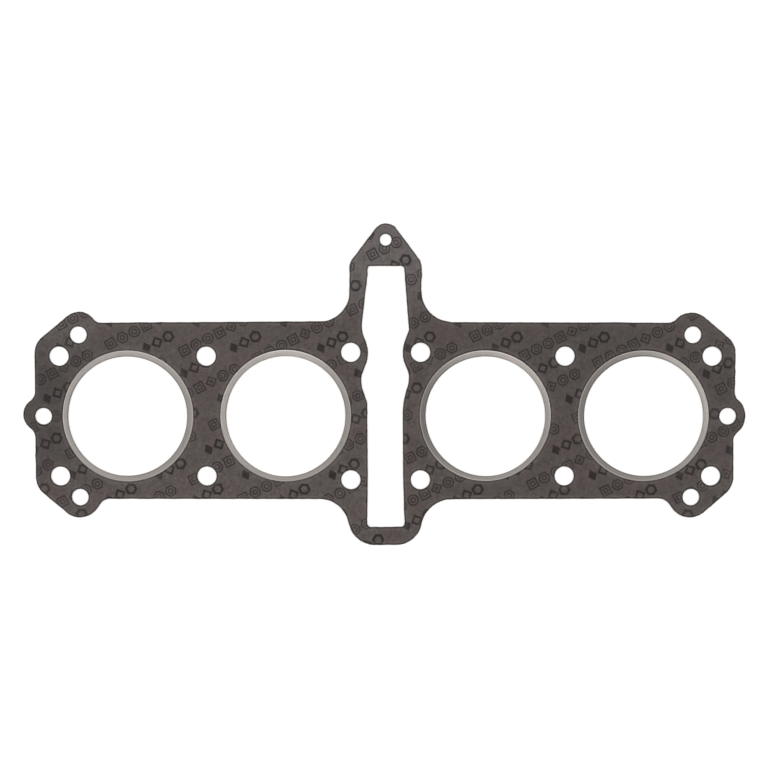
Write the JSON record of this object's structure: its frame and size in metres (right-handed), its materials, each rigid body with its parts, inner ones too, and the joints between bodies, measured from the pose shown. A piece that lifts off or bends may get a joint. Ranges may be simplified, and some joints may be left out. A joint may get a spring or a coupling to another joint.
{
  "type": "cylinder head gasket",
  "caption": "Flat head gasket for an inline engine: die-cut fibre sheet, folded steel rings round the bores, stud holes and a tall chain slot under a pointed nose.",
  "frame": {"origin": "centre of the cylinder stud pattern, in the middle of the sheet's thickness", "axes": "+X along the row of cylinders, +Y towards the nose above the chain slot, +Z out of the face that meets the cylinder head"},
  "size_m": [0.4333, 0.1933, 0.0014],
  "materials": {
    "fibre_sheet": "satin dark grey-brown fibre composite with faint darker print",
    "ring_steel": "satin rolled sheet steel"
  },
  "bodies": {
    "root": {"gasket_sheet": "fibre_sheet", "bore_ring_1": "ring_steel", "bore_ring_2": "ring_steel", "bore_ring_3": "ring_steel", "bore_ring_4": "ring_steel"}
  },
  "joints": []
}
